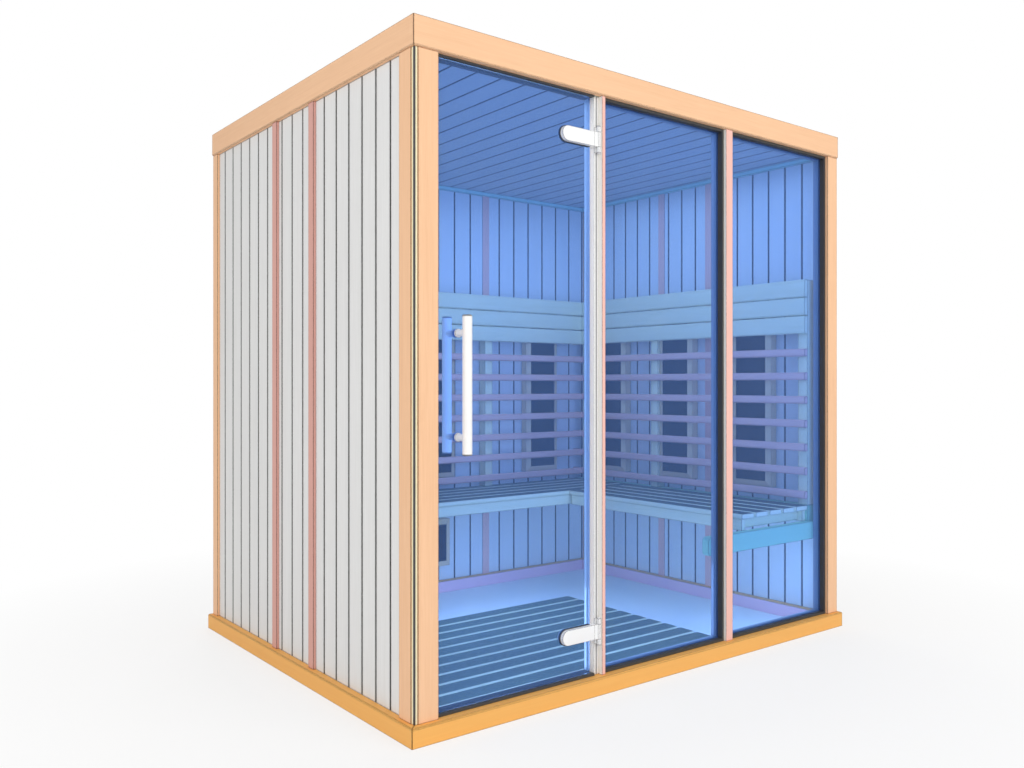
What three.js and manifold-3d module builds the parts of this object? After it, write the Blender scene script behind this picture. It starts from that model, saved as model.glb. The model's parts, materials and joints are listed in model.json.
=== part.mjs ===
// Infrared sauna cabin: a timber cabin with a glazed front, a hinged glass door,
// an L-shaped slatted bench, slatted backrests and flat wall heaters behind them.
// Units are millimetres, +Z is up, the front faces -Y.
// The origin is on the floor, under the middle of the cabin.

import * as THREE from 'three';
import { ConvexGeometry } from 'three/addons/geometries/ConvexGeometry.js';
import { mergeVertices } from 'three/addons/utils/BufferGeometryUtils.js';
import Module from 'manifold-3d';

const wasm = await Module();
wasm.setup();

// Whole cabin, measured over the roof fascia
const CABIN_WIDTH = 2034;
const CABIN_DEPTH = 1542;
const CABIN_HEIGHT = 2000;
const JOINT_GAP = 0.3;
const LAP = 1;
const ROUND_SIDES = 16;

// Base frame and floor
const BASE_HEIGHT = 57;
const BASE_WIDTH = 86;
const BASE_LEDGE = 12;
const BASE_ROUND = 6;
const FLOOR_THICKNESS = 6;

// Duckboard that lies on the floor
const DUCKBOARD_TOP = 40;
const DUCKBOARD_SIDE_MARGIN = 92;
const DUCKBOARD_FRONT_MARGIN = 130;
const DUCKBOARD_LENGTH = 1301;
const DUCKBOARD_SLATS = 10;
const DUCKBOARD_SLAT_WIDTH = 71;
const DUCKBOARD_SLAT_GAP = 12;
const DUCKBOARD_SLAT_THICKNESS = 20;
const DUCKBOARD_BEARERS = 4;
const DUCKBOARD_BEARER_WIDTH = 45;
const DUCKBOARD_BEARER_INSET = 15;

// Roof
const FASCIA_HEIGHT = 86.5;
const FASCIA_THICKNESS = 20;
const FASCIA_ROUND = 5;
const CORNICE_HEIGHT = 17.5;
const CORNICE_PROUD = 12;
const CEILING_THICKNESS = 18;
const CEILING_BOARD = 92.5;
const ROOF_THICKNESS = 12;
const CONTROL_BOX_SIZE = [260, 180, 34];
const CONTROL_BOX_BACK_MARGIN = 160;
const CONTROL_BOX_CORNER = 12;

// Walls: tongue-and-groove boards between battens
const POST_SETBACK = 3;
const BOARD_SETBACK = 12.4;
const WALL_THICKNESS = 29;
const GROOVE_WIDTH = 6;
const GROOVE_DEPTH = 7;
const BATTEN_WIDTH = 37;
const BATTEN_PROUD_INSIDE = 4;
const SIDE_BAY = 540;
const SIDE_BOARD = 83.5;
const SIDE_FIRST_BOARD = 62;
const BACK_BOARD = 92.5;
const BACK_FIRST_BOARD = 66;

// Corner posts and front posts
const STILE_INSET = 17;
const STILE_WIDTH = 67;
const SIDE_STILE_INSET = 19;
const SIDE_STILE_WIDTH = 63;
const BEAD_SETBACK = 5.5;
const RIGHT_POST_WIDTH = 65;
const BACK_POST_DEPTH = 48;
const FRONT_POST_DEPTH = 63;
const FRONT_POST_WIDTH = 37;
const JAMB_WIDTH = 18;
const JAMB_MARGIN = 4;
const JAMB_FRONT = 22;
const JAMB_DEPTH = 22;

// Glazing
const GLASS_THICKNESS = 8;
const PANE_FRONT = 34;
const LINER_FRONT = 14;
const LINER_THICKNESS = 10;
const LINER_GROOVE = 6;

// Door, measured from the cabin's front and from the base's top
const DOOR_FRONT = 21;
const DOOR_FREE_GAP = 4;
const DOOR_HINGE_GAP = 15;
const DOOR_SILL_GAP = 10;
const DOOR_HEAD_GAP = 7.5;
const SEAL_CLEARANCE = 2;

// Door handle: a bar on each face of the glass
const HANDLE_LENGTH = 396;
const HANDLE_BOTTOM = 788;
const HANDLE_DIAMETER = 28;
const HANDLE_EDGE_ROUND = 4;
const HANDLE_FROM_DOOR_EDGE = 72;
const HANDLE_STANDOFF = 48;
const STANDOFF_DIAMETER = 20;
const STANDOFF_FROM_END = 50;

// Door hinges
const LOWER_HINGE_RISE = 140.5;
const UPPER_HINGE_DROP = 228.5;
const HINGE_AXIS_INSET = 14;
const HINGE_AXIS_FRONT = 10;
const HINGE_BARREL_DIAMETER = 14;
const HINGE_PIN_DIAMETER = 6;
const HINGE_PIN_HEAD = 3;
const HINGE_LEAF_HEIGHT = 48;
const HINGE_EAR_HEIGHT = 17;
const HINGE_LEAF_LENGTH = 141;
const HINGE_CLAMP_THICKNESS = 7;
const HINGE_CLAMP_WEB = 16;
const HINGE_ARM_FRONT = 3;
const HINGE_ARM_THICKNESS = 8;
const HINGE_BRACKET_THICKNESS = 3.7;

// Benches
const SEAT_TOP = 492;
const SEAT_DEPTH = 422;
const SEAT_SLATS = 5;
const SEAT_SLAT_GAP = 13;
const SEAT_SLAT_THICKNESS = 20;
const SEAT_SLAT_ROUND = 6;
const APRON_HEIGHT = 45;
const APRON_THICKNESS = 22;
const APRON_INSET = 9;
const BEARER_WIDTH = 40;
const BEARER_INSET = 20;
const BEARER_RISE = 5;
const BEARER_PITCH = 450;
const LEDGER_WIDTH = 50;
const BENCH_FRONT_MARGIN = 82;
const RAIL_HEIGHT = 70;
const RAIL_THICKNESS = 30;
const RAIL_OVERHANG = 24;

// Backrests: planks at shoulder height over rows of slats
const BACKREST_TOP = 1419;
const BACKREST_DEPTH = 67;
const PLANKS = 3;
const PLANK_HEIGHT = 72;
const PLANK_PITCH = 75;
const PLANK_THICKNESS = 20;
const PLANK_ROUND = 4;
const BACK_SLATS = 7;
const BACK_SLAT_HEIGHT = 32;
const BACK_SLAT_PITCH = 97.5;
const BACK_SLAT_LOWEST = 534;
const BACK_SLAT_CHAMFER = 7;
const SUPPORT_WIDTH = 45;
const SUPPORT_INSET = 1;
const SUPPORT_CLEARANCE = 2.5;
const RIGHT_SUPPORT_END = 100;
const BACK_SUPPORTS = [0.004, 0.337, 0.688];

// Wall heaters
const HEATER_WIDTH = 204;
const HEATER_BOTTOM = 548;
const HEATER_TOP = 1325;
const HEATER_DEPTH = 45;
const HEATER_FRAME = 25;
const HEATER_FRAME_SLOPE = 10;
const EMITTER_RECESS = 4;
const RIGHT_HEATER_MARGINS = [370, 301];
const BACK_HEATER_MARGINS = [392, 362];
const LEG_HEATER_WIDTH = 643;
const LEG_HEATER_BOTTOM = 133;
const LEG_HEATER_TOP = 354;
const LEG_HEATER_CENTRE = 784;

// Places that several pieces share
const left = -CABIN_WIDTH / 2;
const right = CABIN_WIDTH / 2;
const front = -CABIN_DEPTH / 2;
const back = CABIN_DEPTH / 2;
const wallBottom = BASE_HEIGHT + JOINT_GAP;
const wallTop = CABIN_HEIGHT - FASCIA_HEIGHT - JOINT_GAP;
const innerSetback = BOARD_SETBACK + WALL_THICKNESS;
const innerLeft = left + innerSetback;
const innerRight = right - innerSetback;
const innerBack = back - innerSetback;
const fixingRight = innerRight - BATTEN_PROUD_INSIDE - JOINT_GAP;
const fixingBack = innerBack - BATTEN_PROUD_INSIDE - JOINT_GAP;
const frontPostFront = front + POST_SETBACK;
const frontPostBack = frontPostFront + FRONT_POST_DEPTH;
const sideWallStart = front + SIDE_STILE_INSET + SIDE_STILE_WIDTH;
const sideWallEnd = back - POST_SETBACK - BACK_POST_DEPTH;
const doorBayLeft = left + STILE_INSET + STILE_WIDTH;
const rightPostLeft = right - POST_SETBACK - RIGHT_POST_WIDTH;
const bay = (rightPostLeft - doorBayLeft - 2 * FRONT_POST_WIDTH) / 3;
const hingePostLeft = doorBayLeft + bay;
const mullionLeft = hingePostLeft + FRONT_POST_WIDTH + bay;
const doorLeft = doorBayLeft + DOOR_FREE_GAP;
const doorRight = hingePostLeft - DOOR_HINGE_GAP;
const doorFront = front + DOOR_FRONT;
const doorBack = doorFront + GLASS_THICKNESS;
const doorBottom = BASE_HEIGHT + DOOR_SILL_GAP;
const doorTop = CABIN_HEIGHT - FASCIA_HEIGHT - DOOR_HEAD_GAP;
const hingeX = hingePostLeft + HINGE_AXIS_INSET;
const hingeY = front + HINGE_AXIS_FRONT;
const seatUnderside = SEAT_TOP - SEAT_SLAT_THICKNESS;
const apronBottom = seatUnderside - APRON_HEIGHT;
const ledgerLeft = fixingRight - LEDGER_WIDTH;
const rightSeatLeft = ledgerLeft - JOINT_GAP - SEAT_DEPTH;
const backSeatFront = fixingBack - SEAT_DEPTH;
const benchFront = front + BENCH_FRONT_MARGIN;
const rightBackrestFront = fixingRight - BACKREST_DEPTH;
const backBackrestFront = fixingBack - BACKREST_DEPTH;

function finish(colour, roughness, metalness = 0) {
  return new THREE.MeshStandardMaterial({ color: colour, roughness, metalness });
}

const finishes = {
  base: finish(0xffb561, 0.6),
  fascia: finish(0xffcfa5, 0.6),
  board: finish(0xe3e3e3, 0.7),
  batten: finish(0xffcbbe, 0.6),
  cream: finish(0xfffad7, 0.6),
  mint: finish(0xbaf8c6, 0.6),
  ceiling: finish(0xdfe6ea, 0.7),
  floor: finish(0xd8d8d8, 0.8),
  plywood: finish(0xd9b98a, 0.8),
  glass: new THREE.MeshStandardMaterial({
    color: 0x4788ff,
    roughness: 0.05,
    transparent: true,
    opacity: 0.58,
  }),
  rubber: finish(0x3c3c3c, 0.8),
  hardware: finish(0xf7f7f7, 0.35, 0.1),
  heater: finish(0xe9c888, 0.6),
  casing: finish(0x2a2a2a, 0.5),
};

// Shape helpers

const axisX = new THREE.Vector3(1, 0, 0);
const axisY = new THREE.Vector3(0, 1, 0);
const axisZ = new THREE.Vector3(0, 0, 1);
const prismTurns = {
  x: new THREE.Matrix4().makeBasis(axisY, axisZ, axisX),
  y: new THREE.Matrix4().makeBasis(axisZ, axisX, axisY),
  z: new THREE.Matrix4().makeBasis(axisX, axisY, axisZ),
};

// A straight bar along one axis. Its outline is in (y, z) for x, (z, x) for y and (x, y) for z.
function prism(axis, outline, from, to) {
  const shape = new THREE.Shape(outline.map(([u, v]) => new THREE.Vector2(u, v)));
  const geometry = new THREE.ExtrudeGeometry(shape, { depth: to - from, bevelEnabled: false });
  geometry.translate(0, 0, from);
  return geometry.applyMatrix4(prismTurns[axis]);
}

function block([x0, x1], [y0, y1], [z0, z1]) {
  const geometry = new THREE.BoxGeometry(x1 - x0, y1 - y0, z1 - z0);
  return geometry.translate((x0 + x1) / 2, (y0 + y1) / 2, (z0 + z1) / 2);
}

function arc([u, v], radius, fromTurn, toTurn, steps) {
  const points = [];
  for (let i = 0; i <= steps; i += 1) {
    const angle = 2 * Math.PI * (fromTurn + ((toTurn - fromTurn) * i) / steps);
    points.push([u + radius * Math.cos(angle), v + radius * Math.sin(angle)]);
  }
  return points;
}

function roundedRectangle([u0, u1], [v0, v1], radius, steps) {
  return [
    ...arc([u0 + radius, v0 + radius], radius, 0.5, 0.75, steps),
    ...arc([u1 - radius, v0 + radius], radius, 0.75, 1, steps),
    ...arc([u1 - radius, v1 - radius], radius, 0, 0.25, steps),
    ...arc([u0 + radius, v1 - radius], radius, 0.25, 0.5, steps),
  ];
}

// A round bar along Z, turned from its half outline
function turned(profile, segments) {
  const points = profile.map(([r, z]) => new THREE.Vector2(r, z));
  return new THREE.LatheGeometry(points, segments).rotateX(Math.PI / 2);
}

function toSolid(geometry) {
  const bare = geometry.clone();
  bare.deleteAttribute('normal');
  bare.deleteAttribute('uv');
  const merged = mergeVertices(bare);
  return new wasm.Manifold(new wasm.Mesh({
    numProp: 3,
    vertProperties: new Float32Array(merged.attributes.position.array),
    triVerts: new Uint32Array(merged.index.array),
  }));
}

function fromSolid(solid) {
  const { vertProperties, triVerts } = solid.getMesh();
  const geometry = new THREE.BufferGeometry();
  geometry.setAttribute('position', new THREE.BufferAttribute(vertProperties, 3));
  geometry.setIndex(new THREE.BufferAttribute(triVerts, 1));
  geometry.computeVertexNormals();
  return geometry;
}

function fuse(...pieces) {
  return fromSolid(pieces.map(toSolid).reduce((a, b) => a.add(b)));
}

function cut(piece, ...tools) {
  return fromSolid(tools.map(toSolid).reduce((a, b) => a.subtract(b), toSolid(piece)));
}

function overlap(a, b) {
  return fromSolid(toSolid(a).intersect(toSolid(b)));
}

const cabin = new THREE.Group();
const door = new THREE.Group();
door.position.set(hingeX, hingeY, 0);
cabin.add(door);

function add(name, geometry, material) {
  const mesh = new THREE.Mesh(geometry, material);
  mesh.name = name;
  cabin.add(mesh);
  return mesh;
}

// A door piece hangs in the door's own group, which turns about the hinge pins.
function addToDoor(name, geometry, material) {
  const mesh = add(name, geometry.translate(-hingeX, -hingeY, 0), material);
  door.add(mesh);
}

// Four mitred rails that make a rectangular ring. The section is in (inset, z).
function mitredRing(name, ring, railWidth, section, material) {
  const sizeX = ring.right - ring.left;
  const sizeY = ring.back - ring.front;
  const middleX = (ring.left + ring.right) / 2;
  const middleY = (ring.front + ring.back) / 2;
  const sides = [
    ['front', sizeX, middleX, ring.front],
    ['right', sizeY, ring.right, middleY],
    ['back', sizeX, middleX, ring.back],
    ['left', sizeY, ring.left, middleY],
  ];
  const heights = section.map(([, z]) => z);
  sides.forEach(([side, length, x, y], quarter) => {
    const reach = length / 2 - JOINT_GAP;
    const bar = prism('x', section, -length / 2, length / 2);
    const mitre = prism(
      'z',
      [
        [-reach - LAP, -LAP],
        [reach + LAP, -LAP],
        [reach - railWidth - LAP, railWidth + LAP],
        [-reach + railWidth + LAP, railWidth + LAP],
      ],
      Math.min(...heights) - LAP,
      Math.max(...heights) + LAP,
    );
    const rail = add(`${name}_${side}`, overlap(bar, mitre), material);
    rail.rotation.z = (quarter * Math.PI) / 2;
    rail.position.set(x, y, 0);
  });
}

// Base frame, floor and duckboard

function buildBase() {
  const ring = {
    left: left - BASE_LEDGE,
    right: right + BASE_LEDGE,
    front: front - BASE_LEDGE,
    back: back + BASE_LEDGE,
  };
  const section = [
    [BASE_WIDTH, 0],
    [BASE_WIDTH, BASE_HEIGHT],
    ...arc([BASE_ROUND, BASE_HEIGHT - BASE_ROUND], BASE_ROUND, 0.25, 0.5, 3),
    [0, 0],
  ];
  mitredRing('base_rail', ring, BASE_WIDTH, section, finishes.base);
  const inset = BASE_WIDTH + JOINT_GAP;
  const floor = block(
    [ring.left + inset, ring.right - inset],
    [ring.front + inset, ring.back - inset],
    [0, FLOOR_THICKNESS],
  );
  add('floor_board', floor, finishes.floor);
}

function buildDuckboard() {
  const x0 = left + DUCKBOARD_SIDE_MARGIN;
  const x1 = x0 + DUCKBOARD_LENGTH;
  const pitch = DUCKBOARD_SLAT_WIDTH + DUCKBOARD_SLAT_GAP;
  const y0 = front + DUCKBOARD_FRONT_MARGIN;
  const y1 = y0 + DUCKBOARD_SLATS * pitch - DUCKBOARD_SLAT_GAP;
  const slatBottom = DUCKBOARD_TOP - DUCKBOARD_SLAT_THICKNESS;
  const pieces = [];
  for (let i = 0; i < DUCKBOARD_SLATS; i += 1) {
    const y = y0 + i * pitch;
    const outline = roundedRectangle(
      [y, y + DUCKBOARD_SLAT_WIDTH],
      [slatBottom, DUCKBOARD_TOP],
      SEAT_SLAT_ROUND,
      1,
    );
    pieces.push(prism('x', outline, x0, x1));
  }
  const inset = DUCKBOARD_BEARER_INSET;
  const bearerRun = DUCKBOARD_LENGTH - DUCKBOARD_BEARER_WIDTH - 2 * inset;
  for (let i = 0; i < DUCKBOARD_BEARERS; i += 1) {
    const x = x0 + inset + (i * bearerRun) / (DUCKBOARD_BEARERS - 1);
    pieces.push(block(
      [x, x + DUCKBOARD_BEARER_WIDTH],
      [y0 + inset, y1 - inset],
      [FLOOR_THICKNESS + JOINT_GAP, slatBottom + LAP],
    ));
  }
  add('duckboard', fuse(...pieces), finishes.cream);
}

// Walls

// One face of a wall, as points (along, across), with a groove at each board joint
function boardFace(span, across, inward) {
  const points = [[span.from, across]];
  if (!span.batten) {
    const last = span.to - GROOVE_WIDTH;
    for (let groove = span.from + span.first; groove < last; groove += span.board) {
      points.push([groove - GROOVE_WIDTH / 2, across]);
      points.push([groove - GROOVE_WIDTH / 4, across + inward * GROOVE_DEPTH]);
      points.push([groove + GROOVE_WIDTH / 4, across + inward * GROOVE_DEPTH]);
      points.push([groove + GROOVE_WIDTH / 2, across]);
    }
  }
  points.push([span.to, across]);
  return points;
}

// A wall's outline in plan, from the setbacks of its two faces
function wallOutline(spans, outerFace, inward) {
  const outer = spans.flatMap((span) => {
    const face = outerFace + inward * (span.batten ? POST_SETBACK : BOARD_SETBACK);
    return boardFace(span, face, inward);
  });
  const inner = spans.flatMap((span) => {
    const setback = innerSetback + (span.batten ? BATTEN_PROUD_INSIDE : 0);
    return boardFace(span, outerFace + inward * setback, -inward);
  });
  return [...outer, ...inner.reverse()];
}

function splitWall(from, to, battens, first, board) {
  const spans = [];
  let start = from;
  battens.forEach((batten) => {
    spans.push({ from: start, to: batten, first, board });
    spans.push({ from: batten, to: batten + BATTEN_WIDTH, batten: true });
    start = batten + BATTEN_WIDTH;
  });
  spans.push({ from: start, to, first, board });
  return spans;
}

function buildSideWalls() {
  const battens = [sideWallStart + SIDE_BAY, sideWallEnd - SIDE_BAY - BATTEN_WIDTH];
  const spans = splitWall(sideWallStart, sideWallEnd, battens, SIDE_FIRST_BOARD, SIDE_BOARD);
  const names = [
    'left_wall_front_panel',
    'left_wall_front_batten',
    'left_wall_middle_panel',
    'left_wall_rear_batten',
    'left_wall_rear_panel',
  ];
  spans.forEach((span, i) => {
    const piece = { ...span, from: span.from + JOINT_GAP / 2, to: span.to - JOINT_GAP / 2 };
    const outline = wallOutline([piece], left, 1).map(([along, across]) => [across, along]);
    const material = span.batten ? finishes.batten : finishes.board;
    add(names[i], prism('z', outline, wallBottom, wallTop), material);
  });
  const whole = splitWall(
    sideWallStart + JOINT_GAP / 2,
    sideWallEnd - JOINT_GAP / 2,
    battens,
    SIDE_FIRST_BOARD,
    SIDE_BOARD,
  );
  const outline = wallOutline(whole, right, -1).map(([along, across]) => [across, along]);
  add('right_wall', prism('z', outline, wallBottom, wallTop), finishes.board);
}

function buildBackWall() {
  const battens = [hingePostLeft, mullionLeft];
  const from = innerLeft + JOINT_GAP;
  const to = innerRight - JOINT_GAP;
  const spans = splitWall(from, to, battens, BACK_FIRST_BOARD, BACK_BOARD);
  add('back_wall', prism('z', wallOutline(spans, back, -1), wallBottom, wallTop), finishes.board);
}

// Corner posts and front posts

function addPost(name, outline, material) {
  add(name, prism('z', outline, wallBottom, wallTop), material);
}

function rectangle([u0, u1], [v0, v1]) {
  return [[u0, v0], [u1, v0], [u1, v1], [u0, v1]];
}

function buildCornerPosts() {
  const stileLeft = left + STILE_INSET;
  const stile = rectangle([stileLeft, doorBayLeft], [frontPostFront, frontPostBack]);
  addPost('front_left_stile', stile, finishes.fascia);

  const sideLeft = left + POST_SETBACK;
  const sideFront = front + SIDE_STILE_INSET;
  const sideBack = sideWallStart - JOINT_GAP / 2;
  const sideStile = [
    [sideLeft, sideFront],
    [stileLeft - JOINT_GAP, sideFront],
    [stileLeft - JOINT_GAP, frontPostBack + JOINT_GAP],
    [innerLeft, frontPostBack + JOINT_GAP],
    [innerLeft, sideBack],
    [sideLeft, sideBack],
  ];
  addPost('left_side_stile', sideStile, finishes.fascia);

  const bead = rectangle(
    [left + BEAD_SETBACK, stileLeft - JOINT_GAP],
    [front + BEAD_SETBACK, sideFront - JOINT_GAP],
  );
  addPost('corner_bead', bead, finishes.cream);

  const rightFace = right - POST_SETBACK;
  const rightPost = [
    [rightPostLeft, frontPostFront],
    [rightFace, frontPostFront],
    [rightFace, sideBack],
    [innerRight, sideBack],
    [innerRight, frontPostBack],
    [rightPostLeft, frontPostBack],
  ];
  addPost('front_right_post', rightPost, finishes.fascia);

  const backFace = [sideWallEnd + JOINT_GAP / 2, back - POST_SETBACK];
  addPost('back_left_post', rectangle([sideLeft, innerLeft], backFace), finishes.fascia);
  addPost('back_right_post', rectangle([innerRight, rightFace], backFace), finishes.fascia);
}

function buildFrontPosts() {
  const jambRight = hingePostLeft + JAMB_MARGIN + JAMB_WIDTH;
  const jambFront = front + JAMB_FRONT;
  const jambBack = jambFront + JAMB_DEPTH;
  const hingePost = [
    [hingePostLeft, jambBack + JOINT_GAP],
    [jambRight + JOINT_GAP, jambBack + JOINT_GAP],
    [jambRight + JOINT_GAP, frontPostFront],
    [hingePostLeft + FRONT_POST_WIDTH, frontPostFront],
    [hingePostLeft + FRONT_POST_WIDTH, frontPostBack],
    [hingePostLeft, frontPostBack],
  ];
  addPost('hinge_post', hingePost, finishes.batten);
  const jamb = rectangle([jambRight - JAMB_WIDTH, jambRight], [jambFront, jambBack]);
  addPost('door_jamb', jamb, finishes.hardware);
  const mullionSpan = [mullionLeft, mullionLeft + FRONT_POST_WIDTH];
  addPost('mullion', rectangle(mullionSpan, [frontPostFront, frontPostBack]), finishes.batten);
}

// Roof

function buildRoof() {
  const bottom = CABIN_HEIGHT - FASCIA_HEIGHT;
  const section = [
    [0, CABIN_HEIGHT],
    ...arc([FASCIA_ROUND, bottom + FASCIA_ROUND], FASCIA_ROUND, 0.5, 0.75, 3),
    [FASCIA_THICKNESS, bottom],
    [FASCIA_THICKNESS, CABIN_HEIGHT],
  ];
  mitredRing('fascia', { left, right, front, back }, FASCIA_THICKNESS, section, finishes.fascia);

  const edge = FASCIA_THICKNESS + JOINT_GAP;
  const spanX = [left + edge, right - edge];
  const spanY = [front + edge, back - edge];
  const proud = innerSetback + CORNICE_PROUD;
  const cornice = cut(
    block(spanX, spanY, [bottom, bottom + CORNICE_HEIGHT]),
    block(
      [left + proud, right - proud],
      [frontPostBack, back - proud],
      [bottom - LAP, bottom + CORNICE_HEIGHT + LAP],
    ),
  );
  add('cornice', cornice, finishes.ceiling);

  const ceilingBottom = bottom + CORNICE_HEIGHT + JOINT_GAP;
  const ceilingTop = ceilingBottom + CEILING_THICKNESS;
  const boards = { from: spanX[0], to: spanX[1], first: CEILING_BOARD, board: CEILING_BOARD };
  const ceiling = [
    ...boardFace(boards, ceilingBottom, 1),
    [spanX[1], ceilingTop],
    [spanX[0], ceilingTop],
  ].map(([x, z]) => [z, x]);
  add('ceiling', prism('y', ceiling, ...spanY), finishes.ceiling);

  const roofBottom = ceilingTop + JOINT_GAP;
  const roofTop = roofBottom + ROOF_THICKNESS;
  add('roof_panel', block(spanX, spanY, [roofBottom, roofTop]), finishes.plywood);

  const [boxX, boxY, boxZ] = CONTROL_BOX_SIZE;
  const boxBack = back - CONTROL_BOX_BACK_MARGIN;
  const boxBottom = roofTop + JOINT_GAP;
  const box = roundedRectangle(
    [-boxX / 2, boxX / 2],
    [boxBack - boxY, boxBack],
    CONTROL_BOX_CORNER,
    3,
  );
  add('control_box', prism('z', box, boxBottom, boxBottom + boxZ), finishes.casing);
}

// Fixed panes, each in a dark grooved liner

function buildPane(name, from, to) {
  const x0 = from + JOINT_GAP;
  const x1 = to - JOINT_GAP;
  const paneFront = front + PANE_FRONT;
  const paneBack = paneFront + GLASS_THICKNESS;
  const frame = block([x0, x1], [front + LINER_FRONT, frontPostBack], [wallBottom, wallTop]);
  const opening = block(
    [x0 + LINER_THICKNESS, x1 - LINER_THICKNESS],
    [front + LINER_FRONT - LAP, frontPostBack + LAP],
    [wallBottom + LINER_THICKNESS, wallTop - LINER_THICKNESS],
  );
  const grooveEdge = LINER_THICKNESS - LINER_GROOVE;
  const groove = block(
    [x0 + grooveEdge, x1 - grooveEdge],
    [paneFront - JOINT_GAP, paneBack + JOINT_GAP],
    [wallBottom + grooveEdge, wallTop - grooveEdge],
  );
  add(`${name}_liner`, cut(frame, opening, groove), finishes.rubber);
  const edge = grooveEdge + JOINT_GAP;
  const pane = block(
    [x0 + edge, x1 - edge],
    [paneFront, paneBack],
    [wallBottom + edge, wallTop - edge],
  );
  add(`${name}_pane`, pane, finishes.glass);
}

// Door

function buildDoorSeals() {
  const x = [doorBayLeft + JOINT_GAP, hingePostLeft - JOINT_GAP];
  const y = [front + LINER_FRONT, frontPostBack];
  add('door_sill_strip', block(x, y, [wallBottom, doorBottom - SEAL_CLEARANCE]), finishes.rubber);
  add('door_head_strip', block(x, y, [doorTop + SEAL_CLEARANCE, wallTop]), finishes.rubber);
}

const handleX = doorLeft + HANDLE_FROM_DOOR_EDGE;
const handleOuterY = doorFront - HANDLE_STANDOFF;
const handleInnerY = doorBack + HANDLE_STANDOFF;
const standoffHeights = [
  HANDLE_BOTTOM + STANDOFF_FROM_END,
  HANDLE_BOTTOM + HANDLE_LENGTH - STANDOFF_FROM_END,
];

function handleBar(y, growth) {
  const radius = HANDLE_DIAMETER / 2 + growth;
  const half = HANDLE_LENGTH / 2 + growth;
  const corner = [radius - HANDLE_EDGE_ROUND, half - HANDLE_EDGE_ROUND];
  const profile = [
    [0, -half],
    ...arc([corner[0], -corner[1]], HANDLE_EDGE_ROUND, 0.75, 1, 2),
    ...arc(corner, HANDLE_EDGE_ROUND, 0, 0.25, 2),
    [0, half],
  ];
  return turned(profile, ROUND_SIDES).translate(handleX, y, HANDLE_BOTTOM + HANDLE_LENGTH / 2);
}

function standoffRod(z, growth) {
  const radius = STANDOFF_DIAMETER / 2 + growth;
  const length = handleInnerY - handleOuterY;
  const rod = new THREE.CylinderGeometry(radius, radius, length, ROUND_SIDES);
  return rod.translate(handleX, (handleInnerY + handleOuterY) / 2, z);
}

function buildDoor() {
  const sheet = block([doorLeft, doorRight], [doorFront, doorBack], [doorBottom, doorTop]);
  const holes = standoffHeights.map((z) => standoffRod(z, JOINT_GAP));
  addToDoor('door_glass', cut(sheet, ...holes), finishes.glass);
  addToDoor('handle_outer_bar', handleBar(handleOuterY, 0), finishes.hardware);
  addToDoor('handle_inner_bar', handleBar(handleInnerY, 0), finishes.hardware);
  const bars = [handleBar(handleOuterY, JOINT_GAP), handleBar(handleInnerY, JOINT_GAP)];
  standoffHeights.forEach((z, i) => {
    const rod = cut(standoffRod(z, 0), ...bars);
    addToDoor(`handle_standoff_${['lower', 'upper'][i]}`, rod, finishes.hardware);
  });
}

// Hinges: a leaf that clamps the glass, a bracket on the jamb and a pin through both

function hingeRod(radius, z0, z1) {
  const rod = new THREE.CylinderGeometry(radius, radius, z1 - z0, ROUND_SIDES).rotateX(Math.PI / 2);
  return rod.translate(hingeX, hingeY, (z0 + z1) / 2);
}

function buildHinge(name, z) {
  const half = HINGE_LEAF_HEIGHT / 2 - JOINT_GAP;
  const earInner = HINGE_LEAF_HEIGHT / 2;
  const earOuter = earInner + HINGE_EAR_HEIGHT;
  const barrel = HINGE_BARREL_DIAMETER / 2;
  const bore = HINGE_PIN_DIAMETER / 2 + JOINT_GAP;
  const hole = hingeRod(bore, z - earOuter - LAP, z + earOuter + LAP);

  const plateRight = doorRight + HINGE_CLAMP_WEB;
  const plateLeft = plateRight - HINGE_LEAF_LENGTH;
  const plate = [
    [z + half, plateRight],
    [z - half, plateRight],
    ...arc([z, plateLeft + half], half, 0.5, 1, 12),
  ];
  const clamp = prism('y', plate, hingeY, doorBack + JOINT_GAP + HINGE_CLAMP_THICKNESS);
  const slot = block(
    [plateLeft - LAP, doorRight + JOINT_GAP],
    [doorFront - JOINT_GAP, doorBack + JOINT_GAP],
    [z - half - LAP, z + half + LAP],
  );
  const armFront = hingeY - HINGE_ARM_FRONT;
  const arm = block(
    [plateRight - HINGE_CLAMP_WEB / 2, hingeX],
    [armFront, armFront + HINGE_ARM_THICKNESS],
    [z - half, z + half],
  );
  const knuckle = hingeRod(barrel, z - half, z + half);
  const leaf = cut(fuse(clamp, arm, knuckle), slot, hole);
  addToDoor(`${name}_hinge_leaf`, leaf, finishes.hardware);

  const bracketBack = front + JAMB_FRONT - JOINT_GAP;
  const bracketFront = bracketBack - HINGE_BRACKET_THICKNESS;
  const bracketX = [hingePostLeft + JAMB_MARGIN, hingePostLeft + JAMB_MARGIN + JAMB_WIDTH];
  const pieces = [block(bracketX, [bracketFront, bracketBack], [z - earOuter, z + earOuter])];
  [[-earOuter, -earInner], [earInner, earOuter]].forEach(([low, high]) => {
    pieces.push(hingeRod(barrel, z + low, z + high));
    pieces.push(block(
      [hingeX - barrel / 2, hingeX + barrel / 2],
      [hingeY, bracketFront + LAP],
      [z + low, z + high],
    ));
  });
  add(`${name}_hinge_bracket`, cut(fuse(...pieces), hole), finishes.hardware);

  const shaft = HINGE_PIN_DIAMETER / 2;
  const headBottom = earOuter + JOINT_GAP;
  const headTop = headBottom + HINGE_PIN_HEAD;
  const pin = turned(
    [
      [0, -headTop],
      [barrel, -headTop],
      [barrel, -headBottom],
      [shaft, -headBottom],
      [shaft, headBottom],
      [barrel, headBottom],
      [barrel, headTop],
      [0, headTop],
    ],
    ROUND_SIDES,
  );
  add(`${name}_hinge_pin`, pin.translate(hingeX, hingeY, z), finishes.hardware);
}

// Benches

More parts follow.
